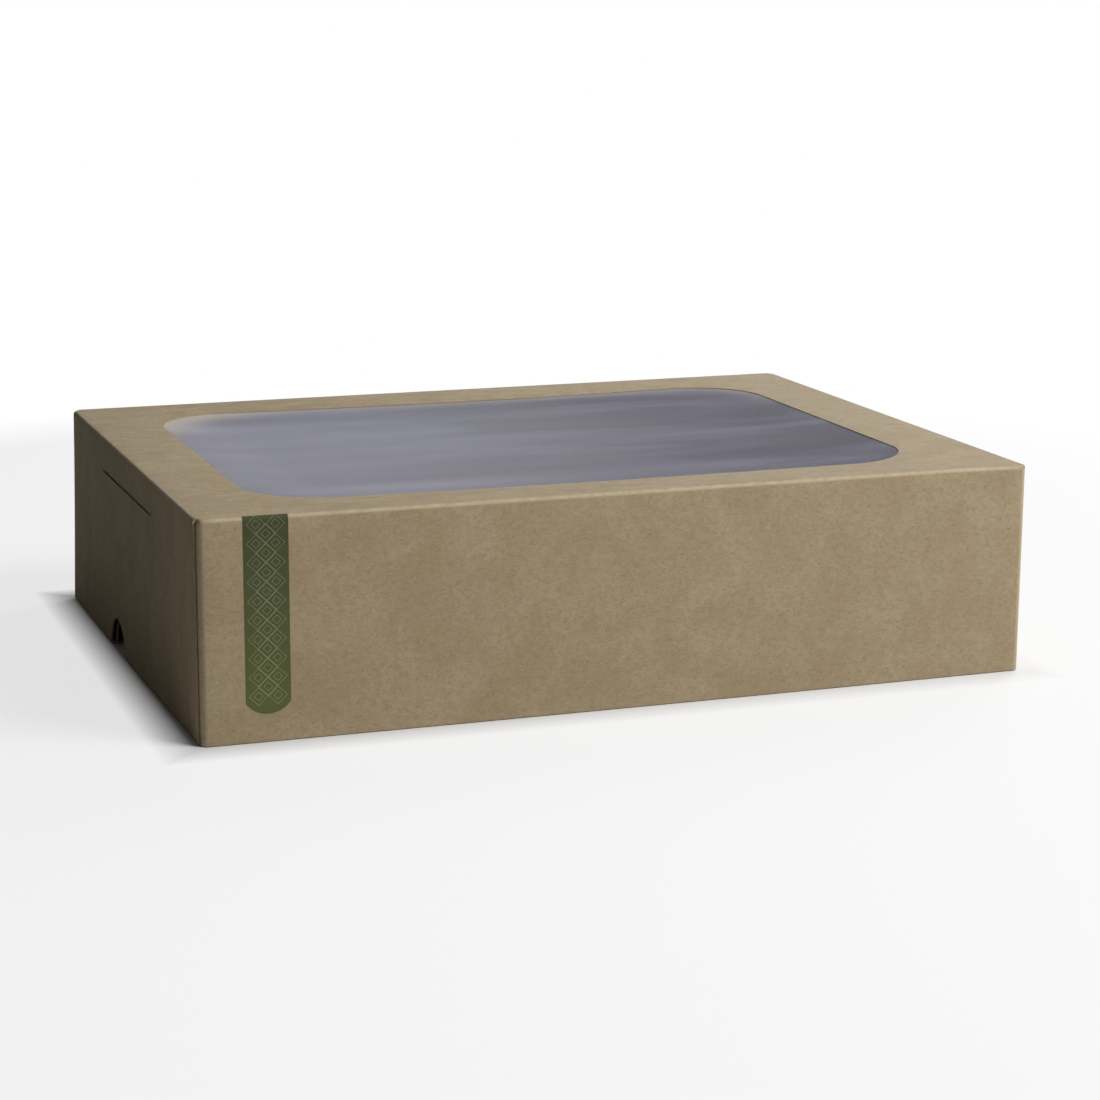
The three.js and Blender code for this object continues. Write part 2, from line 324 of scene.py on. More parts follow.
@dataclass(frozen=True)
class KraftFinish:
    """Uncoated brown kraft board with clouds, felted fibres and dark specks.

    Attributes:
        pale: Its paler clouds and fibres.
        dark: Its darker mottle and felt, and the painted shade of its creases.
        worn_and_highlight: Its small pale flecks, and its folds lightened by rub and by a painted
            highlight.
        grain: How strongly the mottle, felt and fibres show.
        painted_sheen_along: How the sheen grows from the left end to the right one, a painted
            highlight for where the light falls more strongly across the top.
        facing_up: Range of a normal's Z over which a face comes to look up, which confines the
            painted crease shade and the sheen's painted highlight.
        wear_and_highlight_patches: How the mottle breaks up the lightened folds, of rub and
            painted highlight.
    """

    side: BoardSide
    body: ScreenColour
    pale: ScreenColour
    dark: ScreenColour
    speck: ScreenColour
    worn_and_highlight: ScreenColour
    roughness: float = 0.82
    roughness_swing: float = 0.07
    gloss: float = 0.30
    grain: float = 1.0
    sheen_and_highlight: float = 0.22
    painted_sheen_along: Ramp = Ramp(-0.12, 0.15, 0.6, 1.7)
    sheen_roughness: float = 0.45
    sheen_tint: LinearColour = (1.0, 0.94, 0.84, 1.0)
    facing_up: Ramp = Ramp(0.6, 0.9)
    clouds: Grain = Grain((46, 70, 40), detail=3, distortion=0.9)
    clouds_show: Ramp = Ramp(0.38, 0.62)
    mottle: Grain = Grain((330, 400, 400), detail=5, distortion=0.4)
    mottle_shows: Ramp = Ramp(0.42, 0.74, 0.0, 0.48)
    mottle_height: float = 0.18 * MM
    felt: Grain = Grain((800, 1150, 1150), detail=4, turn=20, distortion=0.8)
    felt_shows: Ramp = Ramp(0.46, 0.74, 0.0, 0.75)
    felt_height: float = 0.07 * MM
    fibres: Grain = Grain((420, 1900, 1900), detail=2, turn=-32, distortion=1.2)
    fibres_show: Ramp = Ramp(0.55, 0.75, 0.0, 0.55)
    fibre_height: float = 0.03 * MM
    flecks: Grain = Grain((900, 1500, 1500), detail=1, turn=35)
    specks_show: Ramp = Ramp(0.71, 0.77, 0.0, 0.55)
    pale_flecks_show: Ramp = Ramp(0.29, 0.23, 0.0, 0.45)
    # Painted shade of the top panel's small wrinkles, laid on faces that look up only.
    painted_crease_shade: Grain = Grain((70, 150, 150), detail=5, turn=14, distortion=1.6)
    painted_crease_shade_show: Ramp = Ramp(0.46, 0.64, 0.0, 0.60)
    wear_and_highlight_patches: Ramp = Ramp(0.30, 0.62, 0.45, 1.0)
    bump_strength: float = 0.5

    def board_colour(self, sketch: MaterialSketch, mottle: Socket, felt: Socket,
                     fibres: Socket) -> Socket:
        """Lays the board's clouds, grain and flecks over each other.

        Args:
            sketch: The material.
            mottle: Height of the mottle.
            felt: Height of the felt.
            fibres: Height of the fibres.

        Returns:
            The colour of board that is neither creased nor rubbed.
        """
        flecks = sketch.noise(self.flecks)
        layers = (
            (sketch.noise(self.clouds), self.clouds_show, self.pale),
            (mottle, self.mottle_shows.times(self.grain), self.dark),
            (felt, self.felt_shows.times(self.grain), self.dark),
            (fibres, self.fibres_show.times(self.grain), self.pale),
            (flecks, self.specks_show, self.speck),
            (flecks, self.pale_flecks_show, self.worn_and_highlight),
        )
        colour: Socket | LinearColour = linear(*self.body)
        for pattern, shows, over in layers:
            colour = sketch.tint(sketch.spread(pattern, shows), colour, linear(*over))
        return colour

    def material(self) -> bpy.types.Material:
        """Builds the material.

        Returns:
            A procedural kraft material.
        """
        sketch = MaterialSketch(self.side.value)
        shader = sketch.shader
        mottle, felt = sketch.noise(self.mottle), sketch.noise(self.felt)
        fibres = sketch.noise(self.fibres)
        normal_z = sketch.part(sketch.add("NewGeometry").outputs["Normal"], "Z")
        upward = sketch.spread(normal_z, self.facing_up)

        colour = self.board_colour(sketch, mottle, felt, fibres)
        # Dark crease streaks on faces that look up only: painted shade of the top panel's
        # wrinkles.
        painted_crease_shade = sketch.spread(sketch.noise(self.painted_crease_shade), self.painted_crease_shade_show)
        colour = sketch.tint(sketch.join(Join.PRODUCT, upward, painted_crease_shade), colour,
                             linear(*self.dark))
        # Folds lightened by the fold_wear_and_highlight attribute: partly real rub, partly a
        # painted highlight.
        wear_and_highlight = sketch.add("Attribute", attribute_name="fold_wear_and_highlight").outputs["Fac"]
        broken = sketch.join(Join.PRODUCT, wear_and_highlight, sketch.spread(mottle, self.wear_and_highlight_patches))
        colour = sketch.tint(broken, colour, linear(*self.worn_and_highlight))
        sketch.link(colour, shader.inputs["Base Color"])

        rougher = Ramp(0.3, 0.7, self.roughness - self.roughness_swing,
                       self.roughness + self.roughness_swing)
        sketch.link(sketch.spread(felt, rougher), shader.inputs["Roughness"])
        shader.inputs["Specular IOR Level"].default_value = self.gloss
        # Sheen on faces that look up only, stronger towards the right: the board's fibre sheen,
        # partly a painted highlight for where the light falls more strongly.
        along = sketch.spread(sketch.along("X"), self.painted_sheen_along.times(self.sheen_and_highlight))
        sketch.link(sketch.join(Join.PRODUCT, upward, along), shader.inputs["Sheen Weight"])
        shader.inputs["Sheen Roughness"].default_value = self.sheen_roughness
        shader.inputs["Sheen Tint"].default_value = self.sheen_tint

        relief = sketch.bump(mottle, self.mottle_height * self.grain, self.bump_strength)
        relief = sketch.bump(felt, self.felt_height * self.grain, self.bump_strength, relief)
        relief = sketch.bump(fibres, self.fibre_height, self.bump_strength, relief)
        sketch.link(relief, shader.inputs["Normal"])
        return sketch.material


@dataclass(frozen=True)
class FilmFinish:
    """Thin clear film: see-through face on, and a cool mirror at a low angle.

    Attributes:
        haze: Its paler tan colour along the far edge.
        cover: How its cover grows from face on to a low angle.
        painted_streak_depth: How dark a painted reflection streak is, as a share of the film's
            colour.
        painted_streak_thins: How much of the cover a painted reflection streak takes away.
        painted_streaks_along: How the painted reflection streaks come in from left to right, in
            metres.
    """

    tint: ScreenColour = (60, 60, 78)
    haze: ScreenColour = (166, 148, 112)
    cover: Ramp = Ramp(0.42, 0.79, 0.07, 0.86)
    roughness: Ramp = Ramp(0.3, 0.7, 0.12, 0.19)
    refraction: float = 1.49
    # Painted reflection streaks on the film, darker towards the right.
    painted_reflection_streaks: Grain = Grain((9, 34, 9), detail=3, turn=24, distortion=0.7)
    painted_streaks_show: Ramp = Ramp(0.38, 0.64)
    painted_streaks_along: Ramp = Ramp(-0.08, 0.09, 0.15, 1.0)
    painted_streak_depth: float = 0.35
    painted_streak_thins: float = 0.25
    ripples: Grain = Grain((9, 26, 9), detail=1, turn=4)
    ripple_height: float = 1.0 * MM
    ripple_strength: float = 0.5

    def material(self) -> bpy.types.Material:
        """Builds the film's material.

        Returns:
            A glossy material whose cover grows towards a low angle.
        """
        sketch = MaterialSketch("clear_film")
        shader = sketch.shader
        # Darker colour and thinner cover in streaks that grow towards the right: a painted
        # reflection of dark streaks in the surroundings.
        reflection_streak_noise = sketch.noise(self.painted_reflection_streaks)
        streaked = sketch.join(Join.PRODUCT, sketch.spread(reflection_streak_noise, self.painted_streaks_show),
                              sketch.spread(sketch.along("X"), self.painted_streaks_along))
        cool = linear(*self.tint)
        deeper = tuple(channel * self.painted_streak_depth for channel in cool[:3]) + (1.0,)
        colour = sketch.tint(streaked, cool, deeper)
        tan_edge = sketch.add("Attribute", attribute_name="edge_haze").outputs["Fac"]
        sketch.link(sketch.tint(tan_edge, colour, linear(*self.haze)), shader.inputs["Base Color"])

        angle = sketch.add("LayerWeight")
        angle.inputs["Blend"].default_value = 0.5
        thinned = sketch.spread(streaked, Ramp(0.0, 1.0, 1.0, 1.0 - self.painted_streak_thins))
        cover = sketch.spread(angle.outputs["Facing"], self.cover)
        sketch.link(sketch.join(Join.PRODUCT, cover, thinned), shader.inputs["Alpha"])
        sketch.link(sketch.spread(reflection_streak_noise, self.roughness), shader.inputs["Roughness"])
        shader.inputs["IOR"].default_value = self.refraction
        ripple = sketch.bump(sketch.noise(self.ripples), self.ripple_height, self.ripple_strength)
        sketch.link(ripple, shader.inputs["Normal"])
        return sketch.material


@dataclass(frozen=True)
class InkFinish:
    """Matt print that sinks a little into the board's fibres.

    Attributes:
        thin: Its colour where a fibre or a patch took less ink.
        foot: Its colour near the panel's foot.
        footing: Range of heights in metres over which the foot's colour comes in.
    """

    name: str
    colour: ScreenColour
    thin: ScreenColour
    foot: ScreenColour
    footing: Ramp = Ramp(75 * MM, 12 * MM)
    fibres: Grain = Grain((95, 900, 900), detail=5, turn=8)
    fibres_show: Ramp = Ramp(0.45, 0.75, 0.0, 0.5)
    fibre_height: float = 0.05 * MM
    fibre_strength: float = 0.6
    patches: Grain = Grain((160, 160, 160), detail=4)
    patches_show: Ramp = Ramp(0.50, 0.75, 0.0, 0.4)
    roughness: Ramp = Ramp(0.3, 0.7, 0.62, 0.78)
    gloss: float = 0.22

    def material(self) -> bpy.types.Material:
        """Builds the print's material.

        Returns:
            A procedural ink material with the board's fibres showing through.
        """
        sketch = MaterialSketch(self.name)
        shader = sketch.shader
        fibres, thin = sketch.noise(self.fibres), linear(*self.thin)
        colour = sketch.tint(sketch.spread(fibres, self.fibres_show), linear(*self.colour), thin)
        patches = sketch.spread(sketch.noise(self.patches), self.patches_show)
        colour = sketch.tint(patches, colour, thin)
        low = sketch.spread(sketch.along("Z"), self.footing)
        sketch.link(sketch.tint(low, colour, linear(*self.foot)), shader.inputs["Base Color"])
        sketch.link(sketch.spread(fibres, self.roughness), shader.inputs["Roughness"])
        shader.inputs["Specular IOR Level"].default_value = self.gloss
        relief = sketch.bump(fibres, self.fibre_height, self.fibre_strength)
        sketch.link(relief, shader.inputs["Normal"])
        return sketch.material


def piece_from(mesh_name: str, bm: bmesh.types.BMesh, body: str,
               materials: Iterable[bpy.types.Material], replaced: str) -> bpy.types.Object:
    """Turns a finished bmesh into a piece that rides on a body and stands for a CAD node.

    Args:
        mesh_name: The piece's name.
        bm: The mesh, which is freed.
        body: The body that it rides on.
        materials: Its materials, in the order of its faces' indices.
        replaced: The CAD node that it stands for.

    Returns:
        The new object.
    """
    bmesh.ops.recalc_face_normals(bm, faces=bm.faces)
    mesh = bpy.data.meshes.new(mesh_name)
    bm.to_mesh(mesh)
    bm.free()
    for material in materials:
        mesh.materials.append(material)
    mesh.polygons.foreach_set("use_smooth", [True] * len(mesh.polygons))
    mesh.set_sharp_from_angle(angle=SHARP_FROM)
    piece = bpy.data.objects.new(mesh_name, mesh)
    bpy.context.scene.collection.objects.link(piece)
    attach(piece, body)
    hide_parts(replaced)
    return piece


def sheet_copy(node: str, spacing: Size3) -> bmesh.types.BMesh:
    """Copies a CAD node and cuts its flat faces into an even grid that can bend.

    Args:
        node: The CAD node's name.
        spacing: Distance between cuts along X, Y and Z, in metres.

    Returns:
        The closed, finely cut mesh.
    """
    bm = bmesh.new()
    bm.from_mesh(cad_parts[node].data)
    bmesh.ops.remove_doubles(bm, verts=bm.verts, dist=WELD_WITHIN)
    bmesh.ops.dissolve_limit(bm, angle_limit=FLAT_WITHIN, verts=bm.verts, edges=bm.edges)
    low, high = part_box(node)
    for axis, step in enumerate(spacing):
        count = max(1, round((high[axis] - low[axis]) / step))
        normal = Vector([1.0 if k == axis else 0.0 for k in range(3)])
        for cut in range(1, count):
            place = low.lerp(high, cut / count)
            geometry = bm.verts[:] + bm.edges[:] + bm.faces[:]
            bmesh.ops.bisect_plane(bm, geom=geometry, dist=1e-7, plane_co=place, plane_no=normal)
    bmesh.ops.triangulate(bm, faces=[face for face in bm.faces if len(face.verts) > 4])
    return bm


@dataclass
class LidShape:
    """How the folded lid departs from a true box: flared foot, bowed walls, slack top.

    Attributes:
        flare: How far the left end's far foot stands out.
        skew: How far the right end leans out at its near corner.
        wall_bow: How far a long wall bows out, about a third of the way up.
        end_bow: The same for an end, as a share of wall_bow.
        belly: Start, rate and gain of the sine that shapes the bow from foot to top.
        top_sag: How far the top panel sags in its middle.
        near_edge: How far the window's near edge lies further in than the true one.
        near_edge_right: How much of that is gone at the right, as a share.
    """

    half_length: float = 155 * MM
    half_depth: float = 112.5 * MM
    height: float = 78.4 * MM
    top_fold: float = 1.5 * MM
    upright_fold: float = 3.3 * MM
    window_half_length: float = 127.5 * MM
    window_half_depth: float = 91.5 * MM
    window_corner: float = 29 * MM
    flare: float = 2.0 * MM
    flare_reach: float = 20 * MM
    flare_fade: float = 1.3
    skew: float = 2.3 * MM
    skew_reach: float = 32 * MM
    corner_drop: float = 0.5 * MM
    wall_bow: float = 0.55 * MM
    end_bow: float = 0.7
    belly: Size3 = (0.30, 0.62, 1.6)
    top_sag: float = 1.15 * MM
    sag_flatness: float = 1.6
    near_edge: float = 6.5 * MM
    near_edge_right: float = 0.3
    unevenness: float = 0.16 * MM
    waves_per_metre: tuple[float, float] = (11, 17)
    # How far the outer folds are lightened: partly real rub, partly a painted highlight.
    upright_wear_and_highlight: float = 0.7
    front_wear_and_highlight: float = 0.8
    end_wear_and_highlight: tuple[float, float] = (0.5, 0.9)

    def inside_window(self, x: float, y: float) -> float:
        """Gives how far a point lies inside the window's outline, in metres, negative outside."""
        dx = abs(x) - (self.window_half_length - self.window_corner)
        dy = abs(y) - (self.window_half_depth - self.window_corner)
        outside = math.hypot(max(dx, 0.0), max(dy, 0.0)) + min(max(dx, dy), 0.0)
        return self.window_corner - outside

    def bow(self, size: float, across: float, half: float, up: float) -> float:
        """Gives how far a wall bows out at a point.

        Args:
            size: The bow's full size.
            across: Distance from the wall's middle.
            half: Half the wall's length.
            up: Height as a share of the lid's.

        Returns:
            The distance outwards, which is 0 at the wall's ends and its top.
        """
        start, rate, gain = self.belly
        middle = math.cos(0.5 * math.pi * min(1.0, abs(across) / half))
        belly = math.sin(math.pi * min(1.0, up * rate + start)) * (1 - up) * gain
        return size * middle * belly

    def lean(self, moved: Vector, point: Vector, up: float) -> None:
        """Flares the left end's far foot and leans the right end's near corner out.

        Args:
            moved: The point on its way, which is moved on.
            point: Where it was on the true box.
            up: Its height as a share of the lid's.
        """
        x, y, _ = point
        corner = smooth_step(-x, self.half_length - self.flare_reach, self.half_length)
        corner *= smooth_step(y, -self.half_depth, self.half_depth * 1.1)
        moved.x -= self.flare * corner * (1 - up) ** self.flare_fade
        far_end = smooth_step(x, self.half_length - self.skew_reach, self.half_length)
        near = min(1.0, max(0.0, 0.5 - 0.5 * y / self.half_depth))
        moved.x += self.skew * far_end * near
        moved.z -= self.corner_drop * far_end * near * up

    def slacken_top(self, moved: Vector, point: Vector) -> None:
        """Sags the top panel and draws the window's near edge inwards.

        Args:
            moved: The point on its way, which is moved on.
            point: Where it was on the true box.
        """
        x, y, z = point
        top = smooth_step(z, self.height - 6 * MM, self.height - 1 * MM)
        inward = smooth_step(y, -self.half_depth + 3 * MM, -self.window_half_depth)
        inward *= 1 - smooth_step(y, -self.window_half_depth, -0.1 * self.window_half_depth)
        less_right = 1 - self.near_edge_right * smooth_step(x, 20 * MM, 120 * MM)
        moved.y += self.near_edge * top * inward * less_right
        edge_x = max(0.0, 1 - (x / self.half_length) ** 2) ** self.sag_flatness
        edge_y = smooth_step(self.half_depth - abs(y), 1.5 * MM, 24 * MM)
        along, across = self.waves_per_metre
        wave = noise.noise(Vector((x * along, y * across, 3.1)))
        moved.z -= top * edge_x * edge_y * (self.top_sag + self.unevenness * wave)

    def warp(self, point: Vector) -> Vector:
        """Moves a point of the true box to where the folded board really lies.

        Args:
            point: A point of the lid, in metres.

        Returns:
            The moved point.
        """
        x, y, z = point
        up = min(1.0, max(0.0, z / self.height))
        moved = point.copy()
        front = smooth_step(abs(y), self.half_depth * 0.7, self.half_depth * 0.98)
        moved.y += math.copysign(self.bow(self.wall_bow, x, self.half_length, up) * front, y)
        end = smooth_step(abs(x), self.half_length * 0.8, self.half_length * 0.98)
        end_bow = self.wall_bow * self.end_bow
        moved.x += math.copysign(self.bow(end_bow, y, self.half_depth, up) * end, x)
        self.lean(moved, point, up)
        self.slacken_top(moved, point)
        return moved

    def bend(self, first: float, second: float) -> float:
        """Gives how near a point is to the middle of a top fold: 0 off it, 1 in its middle."""
        if first <= 0 or second <= 0 or math.hypot(first, second) < self.top_fold * 0.8:
            return 0.0
        return math.sin(2 * math.atan2(second, first))

    def fold_wear_and_highlight(self, point: Vector) -> float:
        """Gives how far the board is lightened at a point: partly real rub on the outer folds,
        partly a painted highlight, which on the left end's top fold grows towards the near corner.

        Args:
            point: A point of the unbent lid, in metres.

        Returns:
            0 on a flat panel, up to 1 in the middle of an outer fold.
        """
        round_front = abs(point.y) - (self.half_depth - self.upright_fold)
        round_end = abs(point.x) - (self.half_length - self.upright_fold)
        rise = point.z - (self.height - self.top_fold)
        if rise < 0 and round_front > 0 and round_end > 0:
            return self.upright_wear_and_highlight * math.sin(2 * math.atan2(round_front, round_end))
        over_front = abs(point.y) - (self.half_depth - self.top_fold)
        over_end = abs(point.x) - (self.half_length - self.top_fold)
        near = 1 - smooth_step(point.y, -self.half_depth, 0.1 * self.half_depth)
        inboard = smooth_step(self.half_length - abs(point.x), 1.5 * MM, 6 * MM)
        along_end = smooth_step(self.half_depth - abs(point.y), 3.4 * MM, 9 * MM)
        least, more = self.end_wear_and_highlight
        return min(1.0, max(self.front_wear_and_highlight * inboard * self.bend(over_front, rise),
                            (least + more * near) * along_end * self.bend(over_end, rise)))


@dataclass
class Lid:
    """The folded lid: top, walls, end panels with slot and notch, and window opening.

    Attributes:
        flap_raised: How far the corner flaps' upper edge is pushed up to the top panel.
        pressed: How far the window's cut edge is pressed down to the film.
        tab_push: How far the tab stands out towards the end's face.
        slot_shut: Half the slot's height once it has closed on the tab.
        crushed: How far the end panel's near edge is crushed in.
        at: How close a corner of the mesh has to lie to count as at a place.
    """

    shape: LidShape
    outside: KraftFinish
    cut_edge: KraftFinish
    spacing: Size3 = (7 * MM, 7 * MM, 6 * MM)
    end_panel_half: float = 109.2 * MM
    foot: float = 0.3 * MM
    flap_edge: float = 75.2 * MM
    flap_raised: float = 2.2 * MM
    pressed: float = 0.52 * MM
    tab_height: float = 65.6 * MM
    tab_depth: float = 0.35 * MM
    tab_push: float = 0.25 * MM
    slot_half: float = 0.65 * MM
    slot_shut: float = 0.50 * MM
    slot_depth: float = 0.9 * MM
    crushed: float = 0.45 * MM
    at: float = 0.03 * MM
    name: str = "lid_board"

    def is_cut(self, face: bmesh.types.BMFace) -> bool:
        """Tells whether a face is a cut edge of the board and not its surface.

        Args:
            face: A face of the unbent lid.

        Returns:
            True on the edges of the window and the end panels and on the lid's foot.
        """
        middle, normal = face.calc_center_median(), face.normal
        upright = abs(normal.z) < 0.3
        if upright and middle.z > self.shape.height - 1.2 * MM:
            return self.shape.inside_window(middle.x, middle.y) > -1.0 * MM
        if upright and abs(normal.y) > 0.9:
            if abs(abs(middle.y) - self.end_panel_half) < self.at:
                return True
        return normal.z < -0.9 and middle.z < 2 * self.foot

    def handled(self, point: Vector) -> Vector:
        """Moves a point of the true lid as hands, tab and glue move the board's free edges.

        Args:
            point: A point of the unbent lid, in metres.

        Returns:
            The moved point, on a lid that is still a true box.
        """
        moved, height = point.copy(), self.shape.height
        if abs(moved.z - self.flap_edge) < self.at:
            moved.z += self.flap_raised
        depth = self.shape.half_length - abs(moved.x)
        above = moved.z - self.tab_height
        if abs(above) < self.slot_half and abs(depth - self.tab_depth) < self.at:
            moved.x += math.copysign(self.tab_push, moved.x)
        if abs(abs(above) - self.slot_half) < self.at and depth < self.slot_depth:
            moved.z = self.tab_height + math.copysign(self.slot_shut, above)
        if abs(moved.y + self.end_panel_half) < self.at and abs(depth) < self.at:
            fade = 1 - smooth_step(moved.z, height - 10 * MM, height - 2 * MM)
            moved.x -= math.copysign(self.crushed * fade, moved.x)
        if moved.z > height - self.at:
            inside = self.shape.inside_window(*moved.xy)
            moved.z -= self.pressed * smooth_step(inside, -5 * MM, -0.3 * MM)
        return moved

    def build(self) -> bpy.types.Object:
        """Builds and dresses the lid.

        Returns:
            The lid's object.
        """
        bm = sheet_copy("lid", self.spacing)
        bm.normal_update()
        for face in bm.faces:
            face.material_index = 1 if self.is_cut(face) else 0
        # Per-vertex lightening of the folds: partly real rub, partly a painted highlight.
        wear_and_highlight = bm.verts.layers.float.new("fold_wear_and_highlight")
        for vertex in bm.verts:
            vertex[wear_and_highlight] = self.shape.fold_wear_and_highlight(vertex.co)
            vertex.co = self.shape.warp(self.handled(vertex.co))
        materials = [self.outside.material(), self.cut_edge.material()]
        return piece_from(self.name, bm, "lid", materials, "lid")


@dataclass
class WindowFilm:
    """The clear film under the top panel: flat where it is glued, slack in the opening.

    Attributes:
        slack: How far the film hangs in the middle of the opening.
        long_waves: Waves per metre along X and Y, and how much X slants those along Y.
        cross_waves: The same, where Y slants those along X.
        haze_reach: Width of the paler tan strip along the far edge.
        haze_corner_reach: Its width in the far left corner.
        haze_least: How strongly it turns tan away from that corner, as a share.
    """

    shape: LidShape
    finish: FilmFinish
    spacing: Size3 = (4 * MM, 4 * MM, 1.0)
    slack: float = 0.9 * MM
    slack_reach: float = 30 * MM
    wave: float = 0.22 * MM
    long_waves: Size3 = (7.0, 24.0, 3.0)
    cross_waves: Size3 = (20.0, 9.0, 6.0)
    cross_share: float = 0.5
    haze_reach: float = 11 * MM
    haze_corner_reach: float = 21 * MM
    haze_least: float = 0.4
    haze_corner: tuple[float, float] = (65 * MM, 115 * MM)
    haze_far: tuple[float, float] = (35 * MM, 80 * MM)
    name: str = "lid_window_film"

    def lie(self, point: Vector) -> Vector:
        """Moves a point of the flat film to where the slack film lies.

        Args:
            point: A point of the flat film, in metres.

        Returns:
            The moved point.
        """
        edge = self.shape.inside_window(point.x, point.y)
        inside = smooth_step(edge, 0.0, self.slack_reach)
        x, y, _ = point
        along, across, slant = self.long_waves
        waves = noise.noise(Vector((x * along, y * across + x * slant, 0.7)))
        along, across, slant = self.cross_waves
        cross = noise.noise(Vector((x * along - y * slant, y * across, 5.3)))
        waves = waves + self.cross_share * cross
        moved = self.shape.warp(point)
        moved.z -= inside * (self.slack + self.wave * waves)
        return moved

    def haze(self, point: Vector) -> float:
        """Gives how far the film turns to the paler tan colour at a point.

        Args:
            point: A point of the flat film, in metres.

        Returns:
            0 where it is clear, up to 1 along the far edge at the left corner.
        """
        inside = self.shape.inside_window(point.x, point.y)
        corner = smooth_step(-point.x, *self.haze_corner)
        reach = self.haze_reach + (self.haze_corner_reach - self.haze_reach) * corner
        near_edge = 1 - smooth_step(inside, 0.0, reach)
        far_side = smooth_step(point.y, *self.haze_far)
        return (self.haze_least + (1 - self.haze_least) * corner) * near_edge * far_side

    def build(self) -> bpy.types.Object:
        """Builds and dresses the film.

        Returns:
            The film's object.
        """
        bm = sheet_copy("window_film", self.spacing)
        haze = bm.verts.layers.float.new("edge_haze")
        for vertex in bm.verts:
            vertex[haze] = self.haze(vertex.co)
            vertex.co = self.lie(vertex.co)
        materials = [self.finish.material()]
        return piece_from(self.name, bm, "lid", materials, "window_film")


@dataclass
class PrintedBand:
    """The printed band down the front panel: a dark field with a lattice of lozenges.

    Attributes:
        foot_sag: How far the foot's middle lies below its sides.
        wrap: How far it runs round the top fold, in radians.
        lozenge: Size of the inner lozenge, as a share of the outer one.
        fold_margin: Bare field above the lattice, in radians of the top fold.
        foot_margin: Bare field above the foot's lowest point, as a share of foot_sag.
    """

    shape: LidShape
    field_ink: InkFinish
    line_ink: InkFinish
    left: float = -138.9 * MM
    width: float = 15.7 * MM
    foot: float = 10 * MM
    foot_sag: float = 4 * MM
    wrap: float = math.radians(86)
    film: float = 0.03 * MM
    sunk: float = 0.005 * MM
    pitch: float = 6.6 * MM
    columns: int = 2
    line: float = 0.42 * MM
    margin: float = 1.1 * MM
    lozenge: float = 0.50
    fold_margin: float = 0.1
    foot_margin: float = 0.6
    side_steps: int = 8
    wide_steps: int = 24
    tall_steps: int = 44
    fold_steps: int = 8

    def foot_at(self, across: float) -> float:
        """Gives the band's lower edge at a distance from its middle."""
        half = self.width / 2
        radius = (half ** 2 + self.foot_sag ** 2) / (2 * self.foot_sag)
        return self.foot + radius - math.sqrt(radius ** 2 - across ** 2)

    def on_board(self, across: float, up: float, proud: float) -> Vector:
        """Places a point of the flat print on the board's face and round its top fold.

        Args:
            across: Distance from the band's middle, along X.
            up: Height on the unrolled panel.
            proud: Height above the board's face.

        Returns:
            The point on the bent board.
        """
        fold = self.shape.top_fold
        start = self.shape.height - fold
        x = self.left + self.width / 2 + across
        if up <= start:
            return self.shape.warp(Vector((x, -self.shape.half_depth - proud, up)))
        angle = (up - start) / fold
        y = -self.shape.half_depth + fold - (fold + proud) * math.cos(angle)
        return self.shape.warp(Vector((x, y, start + (fold + proud) * math.sin(angle))))

    def slab(self, bm: bmesh.types.BMesh, grid: list[list[tuple[float, float]]],
             low: float, high: float, closed: bool = False) -> None:
        """Adds a thin closed slab whose outline is a grid of flat points.

        Args:
            bm: The mesh that it joins.
            grid: Rows of points, each across and up.
            low: Height of its back above the board.
            high: Height of its face above the board.
            closed: True where the last row meets the first, as in a ring.
        """
        front, back = ([[bm.verts.new(self.on_board(*point, height)) for point in row]
                        for row in grid] for height in (high, low))
        rows, columns = len(grid), len(grid[0])
        last = rows if closed else rows - 1
        for surface in (front, back):
            for row in range(last):
                this, following = surface[row], surface[(row + 1) % rows]
                for column in range(columns - 1):
                    bm.faces.new([this[column], this[column + 1],
                                  following[column + 1], following[column]])
        for row in range(last):
            following = (row + 1) % rows
            for column in (0, columns - 1):
                bm.faces.new([front[row][column], front[following][column],
                              back[following][column], back[row][column]])
        if not closed:
            for row in (0, rows - 1):
                for column in range(columns - 1):
                    bm.faces.new([front[row][column], front[row][column + 1],
                                  back[row][column + 1], back[row][column]])

    def build_field(self) -> bpy.types.Object:
        """Builds the dark field of the band.

        Returns:
            The field's object.
        """
        start = self.shape.height - self.shape.top_fold
        grid = []
        for row in range(self.tall_steps + self.fold_steps + 1):
            line = []
            for column in range(self.wide_steps + 1):
                across = self.width * (column / self.wide_steps - 0.5)
                low = self.foot_at(across)
                if row <= self.tall_steps:
                    up = low + (start - low) * row / self.tall_steps
                else:
                    turn = self.wrap * (row - self.tall_steps) / self.fold_steps
                    up = start + turn * self.shape.top_fold
                line.append((across, up))
            grid.append(line)
        bm = bmesh.new()
        self.slab(bm, grid, self.sunk, self.film)
        materials = [self.field_ink.material()]
        return piece_from("band_field", bm, "lid", materials, "print_band")

    def add_cell(self, bm: bmesh.types.BMesh, across: float, up: float,
                 wide: float, tall: float) -> None:
        """Adds one lozenge ring with a smaller one inside it.

        Args:
            bm: The mesh that it joins.
            across: Distance of its middle from the band's middle.
            up: Height of its middle on the unrolled panel.
            wide: Half its width.
            tall: Half its height.
        """
        flat = wide * tall / math.hypot(wide, tall)
        corners = [Vector(corner) for corner in
                   ((wide, 0.0), (0.0, tall), (-wide, 0.0), (0.0, -tall))]
        outline = [start.lerp(end, step / self.side_steps)
                   for start, end in zip(corners, corners[1:] + corners[:1])
                   for step in range(self.side_steps)]
        for outer in (1.0, self.lozenge):
            inner = outer - (self.line / 2) / flat
            ring = [[(across + dx * share, up + dy * share) for share in (inner, outer)]
                    for dx, dy in outline]
            self.slab(bm, ring, self.film, 2 * self.film, closed=True)

